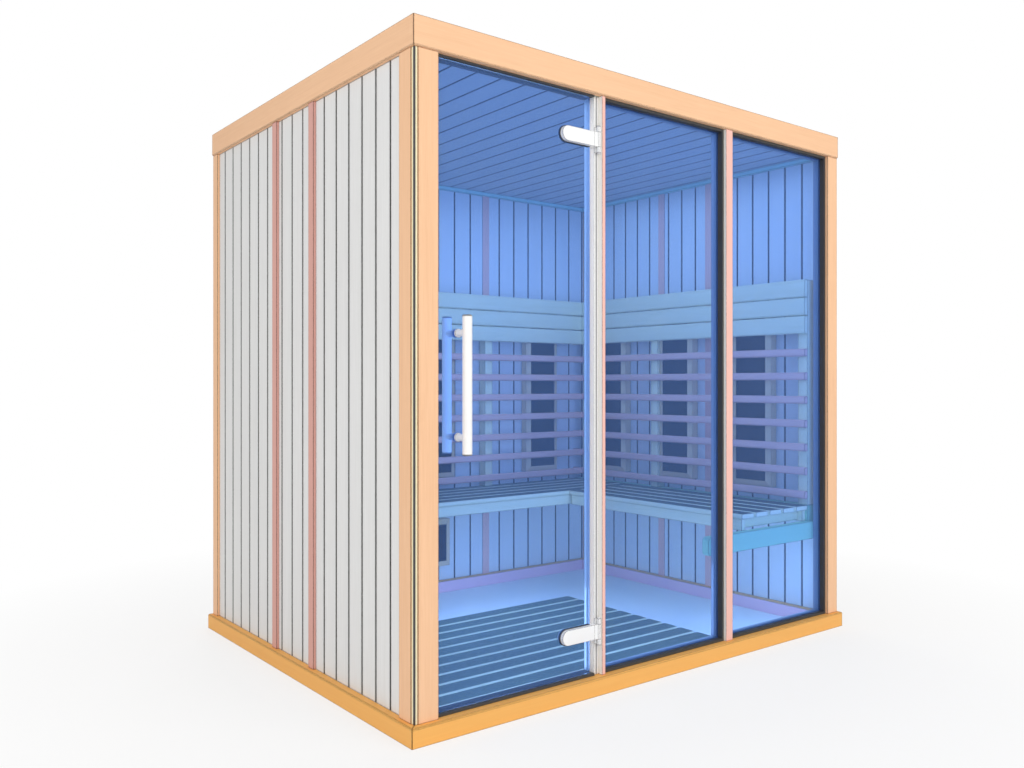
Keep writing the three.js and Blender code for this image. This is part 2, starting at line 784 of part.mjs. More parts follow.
const seatSlatWidth = (SEAT_DEPTH - (SEAT_SLATS - 1) * SEAT_SLAT_GAP) / SEAT_SLATS;

// Bounds of each seat slat, from the seat's front edge inwards
function seatSlats(edge) {
  const pitch = seatSlatWidth + SEAT_SLAT_GAP;
  return Array.from({ length: SEAT_SLATS }, (_, i) => {
    const start = edge + i * pitch;
    return roundedRectangle(
      [start, start + seatSlatWidth],
      [seatUnderside, SEAT_TOP],
      SEAT_SLAT_ROUND,
      2,
    );
  });
}

// Middles of the bearers that lie across under the slats
function bearerPlaces(from, to) {
  const count = Math.max(2, Math.round((to - from) / BEARER_PITCH) + 1);
  const margin = BEARER_INSET + BEARER_WIDTH / 2;
  const first = from + margin;
  const pitch = (to - from - 2 * margin) / (count - 1);
  return Array.from({ length: count }, (_, i) => first + i * pitch);
}

function buildRightBench() {
  const y0 = benchFront;
  const y1 = backSeatFront - JOINT_GAP;
  const x1 = ledgerLeft - JOINT_GAP;
  const frameZ = [apronBottom, seatUnderside + LAP];
  const bearerZ = [apronBottom + BEARER_RISE, seatUnderside + LAP / 2];
  const slats = seatSlats(rightSeatLeft).map((outline) => {
    return prism('y', outline.map(([x, z]) => [z, x]), y0, y1);
  });
  const apronX = rightSeatLeft + APRON_INSET;
  const apronY = [y0 + APRON_INSET, y1 - APRON_INSET];
  const apron = block([apronX, apronX + APRON_THICKNESS], apronY, frameZ);
  const bearers = bearerPlaces(y0 + APRON_INSET, y1).map((y) => {
    return block([apronX + LAP, x1], [y - BEARER_WIDTH / 2, y + BEARER_WIDTH / 2], bearerZ);
  });
  add('right_bench', fuse(...slats, apron, ...bearers), finishes.cream);
}

function buildBackBench() {
  const x0 = innerLeft + JOINT_GAP;
  const x1 = ledgerLeft - JOINT_GAP;
  const frameZ = [apronBottom, seatUnderside + LAP];
  const bearerZ = [apronBottom + BEARER_RISE, seatUnderside + LAP / 2];
  const slats = seatSlats(backSeatFront).map((outline) => prism('x', outline, x0, x1));
  const apronY = backSeatFront + APRON_INSET;
  const apronX = [x0 + APRON_INSET, x1 - APRON_INSET];
  const apron = block(apronX, [apronY, apronY + APRON_THICKNESS], frameZ);
  const bearers = bearerPlaces(x0, x1).map((x) => {
    return block([x - BEARER_WIDTH / 2, x + BEARER_WIDTH / 2], [apronY + LAP, fixingBack], bearerZ);
  });
  add('back_bench', fuse(...slats, apron, ...bearers), finishes.cream);
}

function buildBenchRails() {
  const railTop = apronBottom - JOINT_GAP;
  const railLeft = mullionLeft - RAIL_OVERHANG;
  const radius = RAIL_HEIGHT / 4;
  const railRight = innerRight - JOINT_GAP;
  const railBottom = railTop - RAIL_HEIGHT;
  const outline = [
    [railBottom, railRight],
    ...arc([railBottom + radius, railLeft + radius], radius, 0.5, 0.75, 4),
    ...arc([railTop - radius, railLeft + radius], radius, 0.75, 1, 4),
    [railTop, railRight],
  ];
  const railFront = frontPostBack + JOINT_GAP;
  add('bench_front_rail', prism('y', outline, railFront, railFront + RAIL_THICKNESS), finishes.mint);

  const ledger = block(
    [ledgerLeft, fixingRight],
    [benchFront, innerBack - JOINT_GAP],
    [apronBottom, SEAT_TOP],
  );
  add('bench_wall_ledger', ledger, finishes.mint);
}

// Backrests: a ladder of planks and slats on upright supports

// Outlines in (depth, z) of the planks and slats, from the front face back
function backrestBars(frontFace) {
  const depth = [frontFace, frontFace + PLANK_THICKNESS];
  const bars = [];
  for (let i = 0; i < PLANKS; i += 1) {
    const top = BACKREST_TOP - i * PLANK_PITCH;
    bars.push(roundedRectangle(depth, [top - PLANK_HEIGHT, top], PLANK_ROUND, 1));
  }
  for (let i = 0; i < BACK_SLATS; i += 1) {
    const middle = BACK_SLAT_LOWEST + i * BACK_SLAT_PITCH;
    const height = [middle - BACK_SLAT_HEIGHT / 2, middle + BACK_SLAT_HEIGHT / 2];
    bars.push(roundedRectangle(depth, height, BACK_SLAT_CHAMFER, 1));
  }
  return bars;
}

// Three heaters, spread evenly between the margins at a wall's two ends
function heaterPlaces(from, to, [first, last]) {
  return [from + first, (from + first + to - last) / 2, to - last];
}

// Places of supports that stand at these shares of the way along a backrest
function supportPlaces(from, to, shares) {
  const room = to - from - SUPPORT_WIDTH - 2 * SUPPORT_INSET;
  return shares.map((share) => from + SUPPORT_INSET + share * room);
}

function buildBackrests() {
  const supportZ = [SEAT_TOP + JOINT_GAP, BACKREST_TOP - LAP];
  const supportX = [rightBackrestFront + PLANK_THICKNESS - LAP, fixingRight];
  const barEnd = innerBack - JOINT_GAP;
  const rightBars = backrestBars(rightBackrestFront).map((outline) => {
    const turnedOutline = outline.map(([x, z]) => [z, x]);
    return prism('y', turnedOutline, benchFront, barEnd);
  });
  const heaterMiddle = heaterPlaces(front, back, RIGHT_HEATER_MARGINS)[1];
  const besideHeater = heaterMiddle + HEATER_WIDTH / 2 + SUPPORT_CLEARANCE;
  const rightPlaces = [benchFront + SUPPORT_INSET, besideHeater, barEnd - RIGHT_SUPPORT_END];
  const rightSupports = rightPlaces.map((y) => {
    return block(supportX, [y, y + SUPPORT_WIDTH], supportZ);
  });
  add('right_backrest', fuse(...rightBars, ...rightSupports), finishes.cream);

  const supportY = [backBackrestFront + PLANK_THICKNESS - LAP, fixingBack];
  const from = innerLeft + JOINT_GAP;
  const to = rightBackrestFront - JOINT_GAP;
  const backBars = backrestBars(backBackrestFront).map((outline) => {
    return prism('x', outline, from, to);
  });
  const backSupports = supportPlaces(from, to, BACK_SUPPORTS).map((x) => {
    return block([x, x + SUPPORT_WIDTH], supportY, supportZ);
  });
  add('back_backrest', fuse(...backBars, ...backSupports), finishes.cream);
}

// Heaters: a shallow casing with a bevelled frame round a sunk emitter

function heaterCasing(width, bottom, top) {
  const ring = (margin, depth) => {
    const half = width / 2 - margin;
    return [
      [-half, bottom + margin],
      [half, bottom + margin],
      [half, top - margin],
      [-half, top - margin],
    ].map(([x, z]) => new THREE.Vector3(x, -depth, z));
  };
  const body = new ConvexGeometry([
    ...ring(0, 0),
    ...ring(0, HEATER_DEPTH - HEATER_FRAME_SLOPE),
    ...ring(HEATER_FRAME, HEATER_DEPTH),
  ]);
  const half = width / 2 - HEATER_FRAME;
  const recess = block(
    [-half, half],
    [-HEATER_DEPTH - LAP, -HEATER_DEPTH + EMITTER_RECESS],
    [bottom + HEATER_FRAME, top - HEATER_FRAME],
  );
  return cut(body, recess);
}

function buildHeaters() {
  const places = ['front', 'middle', 'rear'];
  heaterPlaces(front, back, RIGHT_HEATER_MARGINS).forEach((y, i) => {
    const casing = heaterCasing(HEATER_WIDTH, HEATER_BOTTOM, HEATER_TOP);
    const heater = add(`right_heater_${places[i]}`, casing, finishes.heater);
    heater.rotation.z = -Math.PI / 2;
    heater.position.set(fixingRight, y, 0);
  });
  const sides = ['left', 'middle', 'right'];
  heaterPlaces(left, right, BACK_HEATER_MARGINS).forEach((x, i) => {
    const casing = heaterCasing(HEATER_WIDTH, HEATER_BOTTOM, HEATER_TOP);
    const heater = add(`back_heater_${sides[i]}`, casing, finishes.heater);
    heater.position.set(x, fixingBack, 0);
  });
  const legCasing = heaterCasing(LEG_HEATER_WIDTH, LEG_HEATER_BOTTOM, LEG_HEATER_TOP);
  const legHeater = add('leg_heater', legCasing, finishes.heater);
  legHeater.position.set(left + LEG_HEATER_CENTRE, fixingBack, 0);
}

buildBase();
buildDuckboard();
buildSideWalls();
buildBackWall();
buildCornerPosts();
buildFrontPosts();
buildRoof();
buildPane('centre', hingePostLeft + FRONT_POST_WIDTH, mullionLeft);
buildPane('right', mullionLeft + FRONT_POST_WIDTH, rightPostLeft);
buildDoorSeals();
buildDoor();
buildHinge('lower', BASE_HEIGHT + LOWER_HINGE_RISE);
buildHinge('upper', CABIN_HEIGHT - UPPER_HINGE_DROP);
buildRightBench();
buildBackBench();
buildBenchRails();
buildBackrests();
buildHeaters();

export default cabin;
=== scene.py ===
# %% [markdown]
# Infrared sauna cabin
# A boarded timber cabin with a glazed front, a glass door, slatted benches and flat
# infrared panels. The solids arrive first, and everything after this dresses them.
# Units are metres; the front faces -Y and the floor is at Z = 0.

import json
import math

import bmesh
import bpy
from mathutils import Matrix, Vector

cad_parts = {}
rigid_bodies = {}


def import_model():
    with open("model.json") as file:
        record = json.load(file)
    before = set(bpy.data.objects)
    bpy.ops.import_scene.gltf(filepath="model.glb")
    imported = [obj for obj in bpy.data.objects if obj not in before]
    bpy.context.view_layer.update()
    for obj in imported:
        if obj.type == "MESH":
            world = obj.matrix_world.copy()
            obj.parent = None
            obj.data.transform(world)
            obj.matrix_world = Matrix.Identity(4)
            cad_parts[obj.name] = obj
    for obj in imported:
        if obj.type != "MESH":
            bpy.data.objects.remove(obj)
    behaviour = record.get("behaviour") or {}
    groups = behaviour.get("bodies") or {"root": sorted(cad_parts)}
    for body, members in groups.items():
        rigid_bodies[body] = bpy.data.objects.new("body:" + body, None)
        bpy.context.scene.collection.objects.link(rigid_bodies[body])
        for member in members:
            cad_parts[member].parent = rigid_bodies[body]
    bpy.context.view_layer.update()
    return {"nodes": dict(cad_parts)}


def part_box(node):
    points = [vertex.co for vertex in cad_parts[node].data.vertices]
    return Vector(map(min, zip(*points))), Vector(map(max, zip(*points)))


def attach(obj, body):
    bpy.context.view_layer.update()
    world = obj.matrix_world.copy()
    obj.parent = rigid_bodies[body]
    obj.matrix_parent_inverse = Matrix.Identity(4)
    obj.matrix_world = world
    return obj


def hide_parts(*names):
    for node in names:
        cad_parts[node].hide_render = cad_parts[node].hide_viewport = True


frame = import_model()
nodes = frame["nodes"]
scene = bpy.context.scene
scene.view_settings.view_transform = "Standard"

# %% [markdown]
# The camera
# The picture is a level two-point perspective: all uprights stay parallel, so the camera
# isn't tilted. Its place and lens come from the two vanishing points of the edges.

# %% Place the camera
camera_data = bpy.data.cameras.new("view_camera")
camera_data.lens = 31.94
camera_data.sensor_width = 36.0
camera = bpy.data.objects.new("view_camera", camera_data)
camera.location = (-2.3257, -2.8840, 0.9895)
camera.rotation_euler = (math.radians(90.0), 0.0, math.radians(-37.965))
scene.collection.objects.link(camera)
scene.camera = camera
print("camera at", tuple(camera.location))

# %% [markdown]
# Small helpers for node trees
# A node is added with its fixed values and its links in one line, which keeps each
# material short enough to read as a recipe.


# %% Helpers for nodes
def put(tree, kind, values=None, links=None, **settings):
    made = tree.nodes.new(kind)
    for key, value in settings.items():
        setattr(made, key, value)
    for key, value in (values or {}).items():
        made.inputs[key].default_value = value
    for key, socket in (links or {}).items():
        tree.links.new(socket, made.inputs[key])
    return made


def maths(tree, operation, first, second, clamp=False):
    made = put(tree, "ShaderNodeMath", operation=operation, use_clamp=clamp)
    for place, value in enumerate((first, second)):
        if isinstance(value, (int, float)):
            made.inputs[place].default_value = value
        else:
            tree.links.new(value, made.inputs[place])
    return made.outputs[0]


def blend_colours(tree, mask, first, second, kind="MIX"):
    made = put(tree, "ShaderNodeMix", data_type="RGBA", blend_type=kind)
    for place, value in ((0, mask), (6, first), (7, second)):
        if isinstance(value, (int, float)):
            made.inputs[place].default_value = value
        elif isinstance(value, tuple):
            made.inputs[place].default_value = (*value, 1.0)
        else:
            tree.links.new(value, made.inputs[place])
    return made.outputs[2]


def start_group(name, inputs, outputs):
    tree = bpy.data.node_groups.new(name, "ShaderNodeTree")
    for label, kind, value in inputs:
        socket = tree.interface.new_socket(label, in_out="INPUT", socket_type=kind)
        socket.default_value = value
    for label, kind in outputs:
        tree.interface.new_socket(label, in_out="OUTPUT", socket_type=kind)
    given = tree.nodes.new("NodeGroupInput").outputs
    return tree, given, tree.nodes.new("NodeGroupOutput").inputs


def use_group(tree, group, values=None, links=None):
    made = tree.nodes.new("ShaderNodeGroup")
    made.node_tree = group
    for key, value in (values or {}).items():
        made.inputs[key].default_value = value
    for key, socket in (links or {}).items():
        tree.links.new(socket, made.inputs[key])
    return made.outputs


def remap(tree, value, start, end, low=0.0, high=1.0):
    limits = {"From Min": start, "From Max": end, "To Min": low, "To Max": high}
    return put(tree, "ShaderNodeMapRange", limits, {"Value": value}).outputs[0]


def share_along(tree, vector, axis):
    return put(tree, "ShaderNodeSeparateXYZ", links={0: vector}).outputs["xyz".index(axis)]


FLOAT, COLOUR, VECTOR = "NodeSocketFloat", "NodeSocketColor", "NodeSocketVector"
print("node helpers ready")

# %% [markdown]
# Timber grain
# Planed timber has fine fibres along its length, a broad figure of darker growth and a
# slow drift of tone. Two noises stretched along the grain give the first two, and a
# large one gives the drift. It is a group, because every timber here uses it.

# %% Group: timber grain
timber_grain, given, result = start_group(
    "Timber grain",
    [
        ("Vector", VECTOR, (0, 0, 0)),
        ("Stretch", VECTOR, (90, 90, 3)),
        ("Light", COLOUR, (1, 1, 1, 1)),
        ("Dark", COLOUR, (0.5, 0.5, 0.5, 1)),
        ("Contrast", FLOAT, 0.6),
    ],
    [("Colour", COLOUR), ("Height", FLOAT)],
)
along = put(
    timber_grain,
    "ShaderNodeVectorMath",
    links={0: given["Vector"], 1: given["Stretch"]},
    operation="MULTIPLY",
).outputs[0]
fibres = put(
    timber_grain,
    "ShaderNodeTexNoise",
    {"Scale": 3.2, "Detail": 4.0, "Roughness": 0.6, "Distortion": 0.2},
    {"Vector": along},
).outputs["Fac"]
figure = put(
    timber_grain,
    "ShaderNodeTexNoise",
    {"Scale": 0.55, "Detail": 2.0, "Roughness": 0.5, "Distortion": 1.4},
    {"Vector": along},
).outputs["Fac"]
drift = put(
    timber_grain,
    "ShaderNodeTexNoise",
    {"Scale": 2.1, "Detail": 1.0},
    {"Vector": given["Vector"]},
).outputs["Fac"]
mixed = maths(timber_grain, "MULTIPLY", drift, 0.2)
for layer, amount in ((figure, 0.35), (fibres, 0.45)):
    mixed = maths(timber_grain, "ADD", maths(timber_grain, "MULTIPLY", layer, amount), mixed)
spread = remap(timber_grain, mixed, 0.36, 0.68)
share = maths(timber_grain, "MULTIPLY", spread, given["Contrast"])
tone = blend_colours(timber_grain, share, given["Light"], given["Dark"])
timber_grain.links.new(tone, result["Colour"])
timber_grain.links.new(fibres, result["Height"])
print("group:", timber_grain.name)

# %% [markdown]
# Edge shade line
# Every edge of this cabin is painted as a fine dark line: painted shade where parts meet
# and along the grooves, and an outline on open edges. The Bevel node bends the normal near
# an edge, and the bend against the face's own normal is a mask that works on any shape.

# %% Group: edge shade line
edge_shade_line, given, result = start_group("Edge line", [("Radius", FLOAT, 0.003)], [("Mask", FLOAT)])
bent = put(edge_shade_line, "ShaderNodeBevel", links={"Radius": given["Radius"]}, samples=4).outputs[0]
flat = put(edge_shade_line, "ShaderNodeNewGeometry").outputs["Normal"]
turn = put(edge_shade_line, "ShaderNodeVectorMath", links={0: bent, 1: flat}, operation="DOT_PRODUCT")
edge_shade_line.links.new(remap(edge_shade_line, turn.outputs["Value"], 0.9985, 0.975), result["Mask"])
print("group:", edge_shade_line.name)

# %% [markdown]
# Fine speckle
# Powder coat, moulded plastic and rubber aren't smooth: they have a fine pebbled skin
# and hold a little dust unevenly. One group gives the pebbles and the cloudy tone.

# %% Group: fine speckle
fine_speckle, given, result = start_group(
    "Fine speckle",
    [("Vector", VECTOR, (0, 0, 0)), ("Scale", FLOAT, 900.0)],
    [("Height", FLOAT), ("Cloud", FLOAT)],
)
pebbles = put(
    fine_speckle,
    "ShaderNodeTexNoise",
    {"Detail": 2.0},
    {"Vector": given["Vector"], "Scale": given["Scale"]},
).outputs["Fac"]
cloud = put(
    fine_speckle, "ShaderNodeTexNoise", {"Scale": 9.0, "Detail": 3.0}, {"Vector": given["Vector"]}
).outputs["Fac"]
fine_speckle.links.new(pebbles, result["Height"])
fine_speckle.links.new(cloud, result["Cloud"])
print("group:", fine_speckle.name)

# %% [markdown]
# Groove shade
# Between tongue-and-groove boards runs a shadow line, painted into the colour as near-black,
# and battens stand proud of the boards. Both can be told by how far a point lies inside the two
# board faces, so one group gives a painted groove shadow mask and a batten mask from a single
# coordinate.

# %% Group: groove shade
groove_shade, given, result = start_group(
    "Groove shade",
    [("Position", FLOAT, 0.0), ("Low face", FLOAT, 0.0), ("High face", FLOAT, 0.0)],
    [("Groove", FLOAT), ("Proud", FLOAT)],
)
from_low = maths(groove_shade, "SUBTRACT", given["Position"], given["Low face"])
from_high = maths(groove_shade, "SUBTRACT", given["High face"], given["Position"])
depth = maths(groove_shade, "MINIMUM", from_low, from_high)
groove_shade.links.new(remap(groove_shade, depth, 0.0004, 0.0016), result["Groove"])
groove_shade.links.new(remap(groove_shade, depth, -0.0008, -0.0016), result["Proud"])
print("group:", groove_shade.name)

# %% [markdown]
# Timber finishes
# Each timber of the cabin has its own colour, and its grain runs along the piece. A
# recipe takes the colour and the direction, adds the dark edge line of painted shade, and
# lets the fibres roughen and lift the surface. A seat's top can be darkened with painted
# shade, one flank can have its own colour, and a wall gets its grooves painted near-black
# as their shadow, and its pink battens.

# %% Timber recipe
# Share of the dark timber colour used for the painted shade line on every edge
EDGE_SHADE_DARKNESS = 0.12
# Near-black painted into the groove bottoms as their shadow
GROOVE_SHADOW_COLOUR = (0.02, 0.019, 0.018)
STRETCH = {"x": (3.0, 90.0, 90.0), "y": (90.0, 3.0, 90.0), "z": (90.0, 90.0, 3.0)}
COLOURS = {
    "peach": ((1.0, 0.624, 0.376), (0.86, 0.49, 0.27)),
    "orange": ((1.0, 0.53, 0.145), (0.92, 0.44, 0.11)),
    "board": ((0.88, 0.88, 0.875), (0.76, 0.755, 0.745)),
    "pink": ((1.0, 0.597, 0.515), (0.86, 0.47, 0.39)),
    # This pink is darkened as painted shade, for the left wall's side-facing battens
    "rose": ((0.80, 0.43, 0.37), (0.66, 0.34, 0.28)),
    "cream": ((1.0, 0.956, 0.68), (0.86, 0.78, 0.47)),
    "weathered": ((0.78, 0.76, 0.55), (0.66, 0.62, 0.41)),
    "bead": ((1.0, 0.94, 0.66), (0.84, 0.74, 0.46)),
    "mint": ((0.47, 0.80, 0.53), (0.40, 0.70, 0.44)),
    "cornice": ((0.546, 0.871, 0.815), (0.46, 0.75, 0.69)),
    # The board colour darkened as painted shade, for the ceiling
    "ceiling": ((0.56, 0.57, 0.58), (0.47, 0.48, 0.49)),
    "floor": ((1.0, 1.0, 0.99), (0.94, 0.94, 0.93)),
    "plywood": ((0.72, 0.52, 0.29), (0.55, 0.37, 0.18)),
}


def timber(colour, along, walls=None, contrast=0.55, top=None, flank=None, edge_width=0.0035):
    name = f"{colour}_wall_{walls[0]}{walls[1]:.3f}" if walls else f"{colour}_timber_{along}"
    name += "_oiled" if top else f"_flank_{flank[0]}{flank[1]}" if flank else ""
    material = bpy.data.materials.get(name)
    if material:
        return material
    material = bpy.data.materials.new(name)
    material.use_nodes = True
    tree = material.node_tree
    skin = tree.nodes["Principled BSDF"]
    place = put(tree, "ShaderNodeTexCoord").outputs["Object"]

    def grain_of(key):
        light, dark = ((*shade, 1.0) for shade in COLOURS[key])
        values = {"Stretch": STRETCH[along], "Light": light, "Dark": dark, "Contrast": contrast}
        return use_group(tree, timber_grain, values, {"Vector": place})

    grain = grain_of(colour)
    tone = grain["Colour"]
    if top or flank:
        normal = put(tree, "ShaderNodeNewGeometry").outputs["Normal"]
    # Upward faces are multiplied by the top colour: painted shade on the tops
    if top:
        upward = remap(tree, share_along(tree, normal, "z"), 0.75, 0.95)
        painted_top_tone = blend_colours(tree, 1.0, tone, top, "MULTIPLY")
        tone = blend_colours(tree, upward, tone, painted_top_tone)
    if flank:
        axis, way, flank_colour = flank
        towards = maths(tree, "MULTIPLY", share_along(tree, normal, axis), way)
        tone = blend_colours(tree, maths(tree, "GREATER_THAN", towards, 0.8), tone, flank_colour)
    # Every edge is painted with a dark line here, as painted shade
    edge = use_group(tree, edge_shade_line, {"Radius": edge_width})["Mask"]
    edge_shade_colour = tuple(EDGE_SHADE_DARKNESS * value for value in COLOURS[colour][1])
    tone = blend_colours(tree, maths(tree, "MULTIPLY", edge, 0.85), tone, edge_shade_colour)
    # Groove bottoms are painted near-black as painted shade; proud battens turn pink
    if walls:
        axis, low, high = walls
        faces = {"Low face": low, "High face": high}
        shade = use_group(tree, groove_shade, faces, {"Position": share_along(tree, place, axis)})
        tone = blend_colours(tree, shade["Proud"], tone, grain_of("pink")["Colour"])
        tone = blend_colours(tree, shade["Groove"], tone, GROOVE_SHADOW_COLOUR)
    tree.links.new(tone, skin.inputs["Base Color"])
    tree.links.new(remap(tree, grain["Height"], 0.0, 1.0, 0.42, 0.62), skin.inputs["Roughness"])
    lift = {"Strength": 0.22, "Distance": 0.0006}
    bump = put(tree, "ShaderNodeBump", lift, {"Height": grain["Height"]})
    tree.links.new(bump.outputs[0], skin.inputs["Normal"])
    skin.inputs["Specular IOR Level"].default_value = 0.25
    return material


print("timber colours:", sorted(COLOURS))

# %% [markdown]
# Coated and moulded finishes
# The hardware is white powder coat, the heater frames are enamelled, the emitters are
# a matt black film, and the glazing liners are rubber, dark in front of the pane and
# grey behind it. They share one recipe with the fine speckle, because only colour, gloss
# and the size of the pebbles differ.


# %% Coated recipe
def coated(
    name,
    colour,
    roughness,
    pebble=900.0,
    lift=0.12,
    metallic=0.0,
    edge_shade_colour=None,
    cloud=0.9,
    behind=None,
):
    material = bpy.data.materials.new(name)
    material.use_nodes = True
    tree = material.node_tree
    skin = tree.nodes["Principled BSDF"]
    place = put(tree, "ShaderNodeTexCoord").outputs["Object"]
    speckle = use_group(tree, fine_speckle, {"Scale": pebble}, {"Vector": place})
    darker = tuple(value * cloud for value in colour)
    tone = blend_colours(tree, speckle["Cloud"], colour, darker)
    if behind:
        plane, colour_behind = behind
        is_behind = maths(tree, "GREATER_THAN", share_along(tree, place, "y"), plane)
        tone = blend_colours(tree, is_behind, tone, colour_behind)
    # Painted shade: a dark line along the edges
    if edge_shade_colour:
        edge = use_group(tree, edge_shade_line, {"Radius": 0.002})["Mask"]
        tone = blend_colours(tree, maths(tree, "MULTIPLY", edge, 0.8), tone, edge_shade_colour)
    tree.links.new(tone, skin.inputs["Base Color"])
    rough = remap(tree, speckle["Cloud"], 0.0, 1.0, roughness - 0.06, roughness + 0.08)
    tree.links.new(rough, skin.inputs["Roughness"])
    height = {"Strength": lift, "Distance": 0.0003}
    bump = put(tree, "ShaderNodeBump", height, {"Height": speckle["Height"]})
    tree.links.new(bump.outputs[0], skin.inputs["Normal"])
    skin.inputs["Metallic"].default_value = metallic
    return material


PANE_MIDDLE = -0.733
white_coat = coated(
    "white_powder_coat",
    (1.0, 1.0, 0.995),
    0.38,
    pebble=1400.0,
    lift=0.1,
    edge_shade_colour=(0.08, 0.08, 0.085),
    cloud=0.97,
)
heater_frame = coated(
    "heater_frame_enamel",
    (0.88, 0.66, 0.40),
    0.42,
    pebble=1100.0,
    lift=0.08,
    edge_shade_colour=(0.2, 0.14, 0.08),
)
emitter_film = coated("emitter_film", (0.005, 0.005, 0.006), 0.75, pebble=500.0, lift=0.4)
liner_rubber = coated(
    "liner_rubber",
    (0.055, 0.055, 0.055),
    0.6,
    pebble=700.0,
    lift=0.3,
    edge_shade_colour=(0.012, 0.012, 0.012),
    behind=(PANE_MIDDLE, (0.33, 0.36, 0.42)),
)
seal_grey = coated("seal_grey", (0.06, 0.06, 0.062), 0.55, pebble=700.0, lift=0.25)
black_casing = coated(
    "black_casing",
    (0.028, 0.028, 0.03),
    0.5,
    pebble=800.0,
    lift=0.3,
    edge_shade_colour=(0.09, 0.09, 0.09),
)
steel = coated("brushed_steel", (0.6, 0.6, 0.6), 0.3, pebble=1600.0, lift=0.1, metallic=1.0)
print("coated finishes ready")

# %% [markdown]
# Blue glass
# The panes are toughened glass, tinted blue through and through. Transmission lets the
# cabin show through with that tint, and a small share of plain colour gives the hazy
# blue that the dark places keep. Faint smears on the surface change only the gloss, and
# the alpha lets most of the lamps' light through to the seats.

# %% Glass finish
glass = bpy.data.materials.new("blue_glass")
glass.use_nodes = True
tree = glass.node_tree
skin = tree.nodes["Principled BSDF"]
place = put(tree, "ShaderNodeTexCoord").outputs["Object"]
smear = use_group(tree, fine_speckle, {"Scale": 40.0}, {"Vector": place})
tint = blend_colours(tree, smear["Cloud"], (0.225, 0.43, 0.92), (0.255, 0.46, 0.92))
# The pane's edges are painted a darker blue, as painted shade
edge = use_group(tree, edge_shade_line, {"Radius": 0.002})["Mask"]
rim = maths(tree, "MULTIPLY", edge, 0.6)
tree.links.new(blend_colours(tree, rim, tint, (0.06, 0.2, 0.62)), skin.inputs["Base Color"])
tree.links.new(remap(tree, smear["Cloud"], 0.0, 1.0, 0.0, 0.006), skin.inputs["Roughness"])
skin.inputs["Transmission Weight"].default_value = 0.88
skin.inputs["IOR"].default_value = 1.12
shadow = put(tree, "ShaderNodeLightPath").outputs["Is Shadow Ray"]
let_through = maths(tree, "MULTIPLY", shadow, 0.75)
tree.links.new(maths(tree, "SUBTRACT", 1.0, let_through), skin.inputs["Alpha"])
print("glass ready")

# %% [markdown]
# Dressing the solids
# Most solids already have their right shape. A Weld joins their loose triangles and a
# Bevel takes the arris off every edge, as a plane does, and each gets its finish.

# %% Dress the solids
LEFT_FACES = ("x", -1.0046, -0.9756)
RIGHT_FACES = ("x", 0.9756, 1.0046)
BACK_FACES = ("y", 0.7296, 0.7586)
CEILING_FACES = ("z", 1.9313, 1.9493)
SKIRTING, PALE = (1.0, 0.62, 0.68), (1.0, 0.97, 0.9)
DRESS = {
    timber("orange", "x", flank=("y", 1, SKIRTING)): ["base_rail_front"],
    timber("orange", "x", flank=("y", -1, SKIRTING)): ["base_rail_back"],
    timber("orange", "y", flank=("x", 1, SKIRTING)): ["base_rail_left"],
    timber("orange", "y", flank=("x", -1, SKIRTING)): ["base_rail_right"],
    timber("peach", "x"): ["fascia_front", "fascia_back"],
    timber("peach", "y"): ["fascia_left", "fascia_right"],
    timber("peach", "z"): [
        "front_left_stile",
        "left_side_stile",
        "front_right_post",
        "back_left_post",
        "back_right_post",
    ],
    timber("bead", "z", edge_width=0.002): ["corner_bead"],
    timber("rose", "z"): ["left_wall_front_batten", "left_wall_rear_batten"],
    timber("pink", "z", flank=("x", -1, PALE), edge_width=0.002): ["hinge_post", "mullion"],
    timber("board", "z", LEFT_FACES, edge_width=0.007): [
        "left_wall_front_panel",
        "left_wall_middle_panel",
        "left_wall_rear_panel",
    ],
    timber("board", "z", RIGHT_FACES, edge_width=0.005): ["right_wall"],
    timber("board", "z", BACK_FACES, edge_width=0.005): ["back_wall"],
    timber("ceiling", "y", CEILING_FACES): ["ceiling"],
    timber("cornice", "x"): ["cornice"],
    timber("floor", "x"): ["floor_board"],
    timber("plywood", "x"): ["roof_panel"],
    timber("mint", "x"): ["bench_front_rail"],
    timber("mint", "y"): ["bench_wall_ledger"],
    glass: ["centre_pane", "right_pane", "door_glass"],
    liner_rubber: ["centre_liner", "right_liner"],
    seal_grey: ["door_sill_strip", "door_head_strip"],
    white_coat: [
        "door_jamb",
        "lower_hinge_leaf",
        "upper_hinge_leaf",
        "lower_hinge_bracket",
        "upper_hinge_bracket",
        "lower_hinge_pin",
        "upper_hinge_pin",
    ],
    heater_frame: [name for name in nodes if "heater" in name],
    black_casing: ["control_box"],
}
ARRIS = {"glass": 0.0008, "timber": 0.0012, "coated": 0.0006}


def soften(node, width):
    weld = node.modifiers.new("join_triangles", "WELD")
    weld.merge_threshold = 0.00002
    arris = node.modifiers.new("arris", "BEVEL")
    arris.width = width
    arris.segments = 2
    arris.limit_method = "ANGLE"
    arris.angle_limit = math.radians(40.0)


for finish, names in DRESS.items():
    kind = "timber" if "timber" in finish.name or "wall" in finish.name else "coated"
    for name in names:
        nodes[name].data.materials.clear()
        nodes[name].data.materials.append(finish)
        soften(nodes[name], ARRIS["glass"] if finish is glass else ARRIS[kind])
print("dressed:", sum(len(names) for names in DRESS.values()))

# %% [markdown]
# Helpers for new pieces
# A piece starts as a primitive at its size and place. Edges are chosen by their
# direction, then bevelled. Copies get their own mesh, moved inside the mesh so that
# every object stays at the origin.


# %% Helpers for pieces
def clear_choice():
    for item in bpy.context.selected_objects:
        item.select_set(False)


def settle(piece, name, finish, body="cabin", stands_for=()):
    piece.name = name
    piece.data.name = name
    piece.data.materials.clear()
    piece.data.materials.append(finish)
    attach(piece, body)
    if stands_for:
        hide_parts(*stands_for)
    return piece


